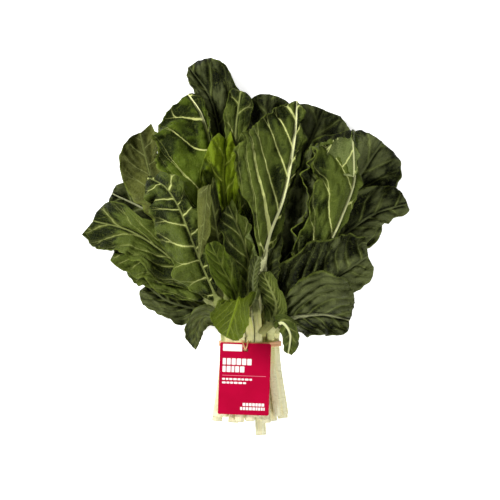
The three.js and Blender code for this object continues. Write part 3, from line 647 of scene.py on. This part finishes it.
def leaf_object(leaf, top, bottom, facts):
    """One closed skin: the upper face, the lower face under it, and both ends closed."""
    rows, columns = top.shape[:2]
    around = 2 * columns - 2
    # how far a place is on the lower face, 0 to 1, whether it is cut flesh, and how strong the painted
    # highlight along the margin is
    face = np.zeros((rows, around, 3))
    face[:, columns:, 0] = 1
    face[:, [0, columns - 1], 0] = 0.5
    face[..., 2] = leaf.margin_highlight
    grids = {key: np.concatenate([grid, grid[:, -2:0:-1]], axis=1) for key, grid in facts.items()}
    grids["face"] = face
    loops = np.concatenate([top, bottom[:, -2:0:-1]], axis=1)

    # the cut end: a ring just inside the stalk's own, then one half way in, and a slightly hollow middle
    middle = loops[0].mean(axis=0)
    inner = mix(middle, loops[0], 0.93)
    half_way = mix(middle, loops[0], 0.5) + [0, 0.25, 0]
    centre = middle + [0, 0.4, 0]
    tip = loops[-1].mean(axis=0)
    points = np.vstack([loops.reshape(-1, 3), inner, half_way, centre[None], tip[None]])

    ring = np.arange(around)
    following = (ring + 1) % around
    start = rows * around
    first, second, last = start + ring, start + around + ring, start - around
    centre_number, tip_number = np.full(around, start + 2 * around), np.full(around, start + 2 * around + 1)
    quads = np.vstack([
        ring_quads(rows, around),
        np.stack([following, ring, first, start + following], axis=-1),
        np.stack([start + following, first, second, start + around + following], axis=-1),
    ])
    triangles = np.vstack([
        np.stack([start + around + following, second, centre_number], axis=-1),
        np.stack([last + ring, last + following, tip_number], axis=-1),
    ])

    values = {}
    for key, grid in grids.items():
        values[key] = np.vstack([grid.reshape(-1, 3), grid[0], grid[0], grid[0][:1], grid[-1][:1]])
    values["face"][start:start + 2 * around + 1, 1] = 1
    return new_object(leaf.name + "_look", points, quads, triangles, values)


# ---- The frame: where the layout lies in the CAD model ----

TAG_WIDTH, TAG_LENGTH, TAG_THICKNESS, TAG_CORNER = 54.0, 76.0, 0.6, 2.0
TAG_LEFT, TAG_TOP, TAG_TURN = -31.5, 3.0, math.radians(-2)
SLIT_WIDTH, SLIT_HEIGHT, SLIT_BELOW = 5.5, 3.0, 6.0
TAG_GAP = 0.35  # between the card and the band below it or the hook above it
HOOK_RADIUS = 0.8
HOOKS = ((-7.6, -5.4), (-2.0, -4.2))  # where each arm of the V leaves the band and enters the slit


def tag_layout(x, y):
    """A place on the card, from its top left corner, in the bunch's layout."""
    c, s = math.cos(TAG_TURN), math.sin(TAG_TURN)
    return TAG_LEFT + x * c - y * s, TAG_TOP + x * s + y * c


def rounded(x0, y0, x1, y1, radius, steps=8):
    """The outline of a rounded rectangle on the card, anticlockwise."""
    points = []
    corners = ((x1, y0, -90), (x1, y1, 0), (x0, y1, 90), (x0, y0, 180))
    for x, y, begin in corners:
        cx = x - radius if x == x1 else x + radius
        cy = y + radius if y == y0 else y - radius
        for turn in np.radians(np.linspace(begin, begin + 90, steps + 1)):
            points.append((cx + radius * math.cos(turn), cy + radius * math.sin(turn)))
    return points


def layout_shift():
    """The move from the layout to the CAD frame, from the card's own box."""
    outline = rounded(0, -TAG_LENGTH, TAG_WIDTH, 0, TAG_CORNER, steps=180)
    places = np.array([tag_layout(x, y) for x, y in outline])
    low, high = np.array(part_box("card_tag"))
    x, y = (low + high)[:2] / 2 - (places.min(axis=0) + places.max(axis=0)) / 2 * MM
    return np.array([x, y, 0.0])


SHIFT = layout_shift()
TAG_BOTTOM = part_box("card_tag")[0][2] / MM
BAND_TOP = TAG_BOTTOM - TAG_GAP


# ---- The rubber band ----

def taut_outline(points, offset, sides=180):
    """The closed line pulled tight round the points (x, z), offset outwards."""
    angle = np.arange(sides) * 2 * math.pi / sides
    direction = np.stack([np.cos(angle), np.sin(angle)], axis=1)
    distance = (points @ direction.T).max(axis=0) + offset
    ahead, ahead_distance = np.roll(direction, -1, axis=0), np.roll(distance, -1)
    turn = direction[:, 0] * ahead[:, 1] - direction[:, 1] * ahead[:, 0]
    x = (distance * ahead[:, 1] - ahead_distance * direction[:, 1]) / turn
    z = (ahead_distance * direction[:, 0] - distance * ahead[:, 0]) / turn
    return np.stack([x, z], axis=1)


def tube(path, radius, sides=14):
    """The points and quads of a round strand along the path, with its ends closed to a point."""
    along = unit(np.gradient(path, axis=0))
    side = unit(np.cross(along, np.array([1.0, 0.0, 0.0])))
    other = np.cross(along, side)
    angle = np.arange(sides) * 2 * math.pi / sides
    swell = np.full(len(path), radius)
    swell[[0, -1]] = 0.01
    ring = np.cos(angle)[None, :, None] * side[:, None] + np.sin(angle)[None, :, None] * other[:, None]
    points = path[:, None] + ring * swell[:, None, None]
    return points.reshape(-1, 3), ring_quads(len(path), sides)


def band_object(sections):
    """Two strands side by side round the stalks, and the V that holds the card."""
    profile = []
    half = BAND_WIDTH / 2
    for turn in np.linspace(0, 2 * math.pi, 36, endpoint=False):
        u = half * math.cos(turn)
        strand = math.sqrt(max(1 - ((abs(u) - half / 2) / (half / 2)) ** 2, 0))
        thick = max(strand, 0.45 if abs(u) < half / 2 else 0)
        profile.append((u, BAND_THICKNESS / 2 * (1 + math.copysign(thick, math.sin(turn)))))
    rings = []
    for u, v in profile:
        outline = taut_outline(sections, BAND_CLEARANCE + v)
        sway = 0.25 * np.sin(np.arange(len(outline)) * 2 * math.pi / len(outline) * 3)
        rings.append(np.stack([outline[:, 0], u + sway, outline[:, 1]], axis=1))
    points = [np.concatenate(rings)]
    quads = [ring_quads(len(rings), len(rings[0]), closed=True)]
    start = len(points[0])
    top, under = BAND_TOP, BAND_TOP - HOOK_RADIUS
    over = TAG_BOTTOM + TAG_THICKNESS + TAG_GAP + HOOK_RADIUS
    for leave, enter in HOOKS:
        # out from under the band, over the card's top edge, and down through its slit
        path = smooth_curve([
            (leave, 1, under), (leave, 3.2, under), (leave, 4.2, top + 0.7),
            (mix(leave, enter, 0.1), 3.2, over), (mix(leave, enter, 0.5), -0.6, over), (enter, -4.3, over),
            (enter, -5.4, top + 0.8), (enter, -4.6, under), (enter, -2, under),
        ], 12)
        strand, faces = tube(path, HOOK_RADIUS)
        points.append(strand)
        quads.append(faces + start)
        start += len(strand)
    return new_object("rubber_band_look", np.vstack(points), np.vstack(quads))


# ---- The card tag ----

def slab(outline, low, high, hole=()):
    """A flat piece with the outline, from one height to another: points, quads and triangles."""
    loops = [list(outline)] + ([list(hole)] if len(hole) else [])
    flat = [point for loop in loops for point in loop]
    many = len(flat)
    xy = [tag_layout(x, y) for x, y in flat]
    points = [(x, y, low) for x, y in xy] + [(x, y, high) for x, y in xy]
    filled = tessellate_polygon([[Vector((x, y, 0)) for x, y in loop] for loop in loops])
    triangles = []
    for a, b, c in filled:
        (ax, ay), (bx, by), (cx, cy) = flat[a], flat[b], flat[c]
        if (bx - ax) * (cy - ay) - (by - ay) * (cx - ax) < 0:
            b, c = c, b
        triangles += [(a + many, b + many, c + many), (a, c, b)]
    quads = []
    start = 0
    for number, loop in enumerate(loops):
        for k in range(len(loop)):
            here, following = start + k, start + (k + 1) % len(loop)
            quad = (here, following, following + many, here + many)
            quads.append(quad if number == 0 else quad[::-1])
        start += len(loop)
    return points, quads, triangles


PRINT_THICKNESS = 0.03
# each printed area: left, bottom, right and top from the card's top left corner, and its corner radius
PANEL = (3.2, -9.0, 23.5, -1.6, 0.8)
THIN_RULE = (3.4, -35.0, 49.5, -34.5, 0.1)
# rows of plain blocks in place of words: the left end, bottom, right end, top, and a block's usual width
ROWS_OF_BLOCKS = [
    (3.4, -23.4, 36.5, -16.6, 4.0), (3.4, -31.2, 29.0, -24.8, 4.0), (3.4, -39.6, 35.0, -37.6, 3.4),
    (3.4, -43.4, 29.5, -41.4, 3.4), (26.0, -66.6, 49.5, -63.4, 2.6), (23.5, -70.9, 49.5, -67.7, 2.6),
]


def blocks(left, bottom, right, top, usual):
    """The plain blocks of one row, of slightly different widths."""
    found = []
    x = left
    gap = 0.24 * usual
    while x < right - 0.5 * usual:
        width = usual * (0.7 + 0.5 * float(lattice(np.array(int(10 * x)), np.array(int(-bottom)), 3)))
        end = min(x + width, right)
        found.append((x, bottom, end, top, 0.16 * (end - x)))
        x = end + gap
    return found


def card_object():
    """The card with its slit, and its print as thin areas on it."""
    left = (TAG_WIDTH - SLIT_WIDTH) / 2
    slit = rounded(left, -SLIT_BELOW - SLIT_HEIGHT, left + SLIT_WIDTH, -SLIT_BELOW, 0.5, 4)
    face = TAG_BOTTOM + TAG_THICKNESS
    parts = [(slab(rounded(0, -TAG_LENGTH, TAG_WIDTH, 0, TAG_CORNER), TAG_BOTTOM, face, slit), 0)]
    bars = [block for row in ROWS_OF_BLOCKS for block in blocks(*row)]
    for area, material in [(PANEL, 1)] + [(bar, 1) for bar in bars] + [(THIN_RULE, 2)]:
        parts.append((slab(rounded(*area, 4), face, face + PRINT_THICKNESS), material))
    points, quads, triangles, quad_paint, triangle_paint = [], [], [], [], []
    for (new_points, new_quads, new_triangles), material in parts:
        start = len(points)
        points += new_points
        quads += [tuple(k + start for k in quad) for quad in new_quads]
        triangles += [tuple(k + start for k in triangle) for triangle in new_triangles]
        quad_paint += [material] * len(new_quads)
        triangle_paint += [material] * len(new_triangles)
    card = new_object("card_tag_look", points, quads, triangles)
    card.data.polygons.foreach_set("material_index", quad_paint + triangle_paint)
    card.data.polygons.foreach_set("use_smooth", [False] * len(card.data.polygons))
    return card


# ---- Materials ----

class Paint:
    """A material being wired up, with short names for the nodes it needs."""

    def __init__(self, name):
        self.material = bpy.data.materials.new(name)
        self.material.use_nodes = True
        self.tree = self.material.node_tree
        self.shader = self.tree.nodes["Principled BSDF"]

    def put(self, socket, value):
        if isinstance(value, bpy.types.NodeSocket):
            self.tree.links.new(value, socket)
        else:
            socket.default_value = value

    def set(self, name, value):
        self.put(self.shader.inputs[name], value)

    def node(self, kind, **inputs):
        """A new node of the kind, with its named inputs filled."""
        node = self.tree.nodes.new("ShaderNode" + kind)
        for name, value in inputs.items():
            self.put(node.inputs[name.replace("_", " ")], value)
        return node

    def math(self, operation, *values):
        node = self.node("Math")
        node.operation = operation
        for socket, value in zip(node.inputs, values):
            self.put(socket, value)
        return node.outputs[0]

    def plus(self, a, b):
        return self.math("ADD", a, b)

    def minus(self, a, b):
        return self.math("SUBTRACT", a, b)

    def times(self, a, b):
        return self.math("MULTIPLY", a, b)

    def size(self, a):
        return self.math("ABSOLUTE", a)

    def ramp(self, value, low, high, to_low=0.0, to_high=1.0):
        """value taken smoothly from one range to another."""
        node = self.node("MapRange", Value=value, From_Min=low, From_Max=high, To_Min=to_low, To_Max=to_high)
        node.interpolation_type = "SMOOTHSTEP"
        return node.outputs["Result"]

    def mix(self, factor, a, b):
        node = self.node("Mix")
        node.data_type = "RGBA"
        sockets = [socket for socket in node.inputs if socket.type == "RGBA"]
        self.put(node.inputs["Factor"], factor)
        for socket, value in zip(sockets, (a, b)):
            self.put(socket, value if isinstance(value, bpy.types.NodeSocket) else (*value[:3], 1.0))
        return [socket for socket in node.outputs if socket.type == "RGBA"][0]

    def facts(self, name):
        """The three numbers that the mesh holds under the name."""
        node = self.node("Attribute")
        node.attribute_name = name
        return self.node("SeparateXYZ", Vector=node.outputs["Vector"]).outputs

    def vector(self, x, y, z):
        return self.node("CombineXYZ", X=x, Y=y, Z=z).outputs[0]

    def place(self):
        return self.node("NewGeometry").outputs["Position"]

    def noise(self, where, scale, detail=2.0, rough=0.5):
        return self.node("TexNoise", Vector=where, Scale=scale, Detail=detail, Roughness=rough).outputs[0]

    def edges(self, where, scale):
        """How far each place is from the edges of irregular cells."""
        node = self.node("TexVoronoi", Vector=where, Scale=scale)
        node.feature = "DISTANCE_TO_EDGE"
        return node.outputs["Distance"]

    def bump(self, height, distance, strength):
        self.set("Normal", self.node("Bump", Height=height, Distance=distance, Strength=strength).outputs[0])


def colour(red, green, blue):
    """A displayed colour, 0 to 255, as the light it stands for."""
    shown = [c / 255 for c in (red, green, blue)]
    return np.array([((c + 0.055) / 1.055) ** 2.4 if c > 0.04 else c / 12.92 for c in shown])


# each tone: the deep green, which is also the painted shade in the relief's valleys, the lighter green, the
# veins, and the leaf's back
TONES = {
    "dark": (colour(20, 25, 9), colour(84, 90, 54), colour(146, 156, 98), colour(86, 92, 56)),
    "mid": (colour(32, 42, 8), colour(78, 90, 32), colour(224, 230, 144), colour(104, 116, 62)),
    "light": (colour(36, 48, 6), colour(82, 99, 22), colour(236, 241, 150), colour(104, 116, 62)),
    "bright": (colour(48, 62, 6), colour(106, 124, 18), colour(160, 174, 70), colour(82, 96, 16)),
    "young": (colour(30, 40, 6), colour(76, 92, 20), colour(176, 188, 98), colour(80, 94, 24)),
    "olive": (colour(36, 42, 14), colour(92, 100, 42), colour(176, 184, 112), colour(94, 99, 44)),
}
YELLOW_GREEN = colour(130, 144, 42)
# the colour of the painted highlight along the leaves' margins
MARGIN_HIGHLIGHT_COLOUR = colour(132, 148, 48)
RIB_CREAM = colour(246, 246, 196)
STALK_CREAMS = (colour(250, 240, 192), colour(255, 253, 218))
STALK_TINTS = (colour(230, 234, 124), colour(252, 251, 168))
STALK_EDGE = colour(170, 182, 70)
PITH = (colour(236, 228, 204), colour(250, 247, 236))


def side_veins(paint, vein, outward, paleness, where):
    """Masks for the side veins, which fork and thin out towards the margin, and for the skin beside them."""
    phase, fork, pitch = vein
    waver = paint.times(paint.minus(paint.noise(where, 0.3), 0.5), 0.06)
    turns = paint.plus(paint.plus(phase, waver), 0.5)
    folded = paint.size(paint.minus(paint.math("FRACT", turns), 0.5))
    off = paint.times(paint.size(paint.minus(folded, fork)), pitch)
    boldness = paint.plus(paint.times(paleness, 0.5), 0.4)
    width = paint.times(paint.ramp(outward, 0.0, 1.0, 0.65, 0.08), boldness)
    mask = paint.ramp(off, width, paint.plus(width, 0.5), 1.0, 0.0)
    mask = paint.times(mask, paint.ramp(outward, 0.4, 1.0, 1.0, 0.15))
    mask = paint.times(mask, paint.ramp(paleness, 0.0, 1.0, 0.1, 1.0))
    halo = paint.times(paint.ramp(off, 0.3, 3.2, 1.0, 0.0), paint.ramp(outward, 0.1, 0.9, 1.0, 0.2))
    return mask, halo


def blade_colour(paint, tone, under, where, crumple, side_vein, halo, net, fine_net):
    """Painted shade: deep green in the relief's valleys and fresh on its domes, with random patches;
    yellower along the veins, and paler underneath.
    """
    deep, fresh, pale, back = TONES[tone]
    patches = paint.times(paint.noise(where, 0.06, 3.0), 0.5)
    blotches = paint.times(paint.noise(where, 0.22, 4.0, 0.6), 0.4)
    # painted shade from the relief's valleys and domes, mixed with random patches and blotches
    tone_and_valley_shade = paint.plus(paint.plus(patches, blotches), paint.times(crumple, 0.7))
    green = paint.mix(paint.ramp(tone_and_valley_shade, 0.52, 1.08), deep, fresh)
    # painted shade: darker still in the deepest valleys
    green = paint.mix(paint.ramp(crumple, 0.0, 0.4), 0.45 * deep, green)
    yellowed = mix(mix(fresh, pale, 0.15), YELLOW_GREEN, 0.35)
    for mask, share in ((halo, 0.5), (net, 0.3), (fine_net, 0.1)):
        green = paint.mix(paint.times(mask, share), green, yellowed)
    green = paint.mix(paint.times(side_vein, 0.8), green, pale)

    # the back also gets the painted valley shade
    reverse = paint.mix(paint.ramp(tone_and_valley_shade, 0.5, 1.1), 0.5 * back, back)
    reverse = paint.mix(paint.times(fine_net, 0.06), reverse, pale)
    reverse = paint.mix(paint.times(side_vein, 0.75), reverse, pale)
    return paint.mix(under, green, reverse)


def stalk_colour(paint, tone, along, across, number, cream):
    """Cream at the cut end and greener towards the blade and at the edges, with fine lengthwise strands."""
    _, fresh, pale, _ = TONES[tone]
    strands = paint.noise(paint.vector(paint.times(along, 0.02), across, number), 1.6, 3.0, 0.6)
    strands = paint.ramp(strands, 0.3, 0.7)
    base, tint = paint.mix(strands, *STALK_CREAMS), paint.mix(strands, *STALK_TINTS)
    flesh = paint.mix(paint.ramp(along, -75.0, 5.0), base, tint)
    edge = paint.times(paint.ramp(paint.size(across), 2.6, 4.2), paint.ramp(along, -95.0, -20.0, 0.15, 0.6))
    flesh = paint.mix(edge, flesh, STALK_EDGE)
    rib_green, rib_cream = mix(fresh, pale, 0.22), mix(pale, RIB_CREAM, 0.6)
    rib = paint.mix(paint.ramp(cream, 0.3, 1.0), rib_green, rib_cream)
    return paint.mix(paint.ramp(along, -50.0, 5.0), flesh, rib)


def leaf_material(tone):
    _, fresh, _, _ = TONES[tone]
    paint = Paint("leaf_" + tone)
    outward, paleness, rib = paint.facts("place")
    # the second number here is the painted shade of the relief's valleys and domes, with a random tone for
    # each cell
    edge, crumple, number = paint.facts("cell")
    along, across, cream = paint.facts("flesh")
    under, cut, margin_highlight_strength = paint.facts("face")
    where = paint.vector(along, across, number)
    side_vein, halo = side_veins(paint, paint.facts("vein"), outward, paleness, where)
    net = paint.ramp(edge, 0.02, 0.13, 1.0, 0.0)
    fine_edge = paint.edges(where, 0.42)
    fine_net = paint.ramp(fine_edge, 0.02, 0.14, 1.0, 0.0)

    skin = blade_colour(paint, tone, under, where, crumple, side_vein, halo, net, fine_net)
    # painted highlight: a light yellow-green line along the outermost margin
    margin_highlight = paint.times(paint.ramp(outward, 0.93, 0.99), margin_highlight_strength)
    skin = paint.mix(margin_highlight, skin, mix(fresh, MARGIN_HIGHLIGHT_COLOUR, 0.7))
    skin = paint.mix(rib, skin, stalk_colour(paint, tone, along, across, number, cream))
    skin = paint.mix(cut, skin, paint.mix(paint.noise(where, 0.9, 3.0), *PITH))
    paint.set("Base Color", skin)

    rough = paint.ramp(paint.noise(where, 0.5, 3.0), 0.3, 0.7, 0.38, 0.56)
    paint.set("Roughness", paint.plus(rough, paint.times(rib, paint.minus(0.42, rough))))
    paint.set("Specular IOR Level", 0.07)
    grain = paint.times(paint.noise(where, 1.3, 3.0, 0.6), 0.5)
    grain = paint.plus(grain, paint.times(paint.ramp(fine_edge, 0.0, 0.3), 0.35))
    grain = paint.minus(grain, paint.times(side_vein, 0.4))
    paint.bump(grain, 0.0012, 0.9)
    return paint.material


def rubber_material():
    paint = Paint("rubber")
    where = paint.place()
    shade = paint.noise(where, 180.0, 3.0)
    dark, light = colour(196, 142, 88), colour(228, 176, 128)
    paint.set("Base Color", paint.mix(paint.ramp(shade, 0.3, 0.7), dark, light))
    paint.set("Roughness", paint.ramp(shade, 0.2, 0.8, 0.45, 0.65))
    paint.bump(paint.noise(where, 900.0, 2.0), 0.0003, 0.4)
    return paint.material


def card_material(name, one, other, roughness):
    paint = Paint(name)
    where = paint.place()
    cloud = paint.noise(where, 60.0, 3.0)
    paint.set("Base Color", paint.mix(paint.ramp(cloud, 0.3, 0.7), one, other))
    paint.set("Roughness", paint.ramp(cloud, 0.2, 0.8, roughness, roughness + 0.1))
    paint.set("Specular IOR Level", 0.04)
    paint.bump(paint.noise(where, 1500.0, 2.0), 0.0001, 0.25)
    return paint.material


# ---- The bunch ----

def finished(piece, node, slot, *materials):
    for material in materials:
        piece.data.materials.append(material)
    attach(piece, "root")
    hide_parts(node)


leaf_paints = {tone: leaf_material(tone) for tone in TONES}
pile = Pile()
tied_sections = []
laying_order = sorted(enumerate(LEAVES), key=lambda item: LAID_AFTER.get(item[1].name, item[0]))
for number, leaf in laying_order:
    top, bottom, t, spread, facts = leaf_surface(leaf, number)
    settle(top, bottom, t, spread, leaf.folded, pile)
    near = (t < 0) & (np.abs(top[:, top.shape[1] // 2, 1]) < BAND_WIDTH)
    tied_sections += [face[near][..., [0, 2]].reshape(-1, 2) for face in (top, bottom)]
    piece = leaf_object(leaf, top, bottom, facts)
    finished(piece, leaf.name, SLOT_OF_TONE[leaf.tone], leaf_paints[leaf.tone])

finished(band_object(np.vstack(tied_sections)), "rubber_band", "rubber_band", rubber_material())
finished(
    card_object(), "card_tag", "printed_card",
    card_material("card", colour(178, 2, 50), colour(186, 3, 54), 0.55),
    card_material("white_print", colour(244, 240, 236), colour(250, 248, 246), 0.5),
    card_material("pink_print", colour(222, 120, 140), colour(228, 130, 148), 0.5),
)


# ---- Floor, light and camera ----
FRAME_WIDTH = 0.525  # what the camera sees at the bunch's middle height
FLOOR_HALF = 3.0
FLOOR_DROP = 0.0003  # keeps the floor clear of the lowest leaves
WHITE = (1.0, 1.0, 1.0, 1.0)


def floor():
    mesh = bpy.data.meshes.new("floor")
    corners = [(FLOOR_HALF * x, FLOOR_HALF * y, 0) for x, y in ((-1, -1), (1, -1), (1, 1), (-1, 1))]
    mesh.from_pydata(corners, [], [(0, 1, 2, 3)])
    plane = bpy.data.objects.new("floor", mesh)
    plane.location.z = -FLOOR_DROP
    bpy.context.scene.collection.objects.link(plane)
    paint = Paint("floor")
    paint.set("Base Color", (0.9, 0.9, 0.9, 1.0))
    paint.set("Roughness", 0.9)
    paint.set("Specular IOR Level", 0.0)
    paint.set("Emission Color", WHITE)
    paint.set("Emission Strength", 0.8)
    mesh.materials.append(paint.material)


def lamp(name, place, size, power):
    data = bpy.data.lights.new(name, "AREA")
    data.shape = "SQUARE"
    data.size = size
    data.energy = power
    light = bpy.data.objects.new(name, data)
    light.location = place
    light.rotation_mode = "QUATERNION"
    light.rotation_quaternion = (-Vector(place)).to_track_quat("-Z", "Y")
    bpy.context.scene.collection.objects.link(light)


def world(strength):
    scenery = bpy.data.worlds.new("studio")
    scenery.use_nodes = True
    background = scenery.node_tree.nodes["Background"]
    background.inputs["Color"].default_value = WHITE
    background.inputs["Strength"].default_value = strength
    bpy.context.scene.world = scenery


def camera():
    """Straight above the bunch, from far enough away to flatten it a little."""
    data = bpy.data.cameras.new("camera")
    data.lens = 100.0
    data.sensor_width = 36.0
    view = bpy.data.objects.new("camera", data)
    middle = (CAD_BOX[0][2] + CAD_BOX[1][2]) / 2
    view.location = (0.0, 0.0, middle + FRAME_WIDTH * data.lens / data.sensor_width)
    bpy.context.scene.collection.objects.link(view)
    bpy.context.scene.camera = view


bpy.context.scene.view_settings.view_transform = "Standard"
floor()
lamp("key", (-1.1, 0.6, 1.2), 0.7, 31.0)
lamp("fill", (0.6, -1.1, 1.3), 0.8, 17.0)
world(0.17)
camera()
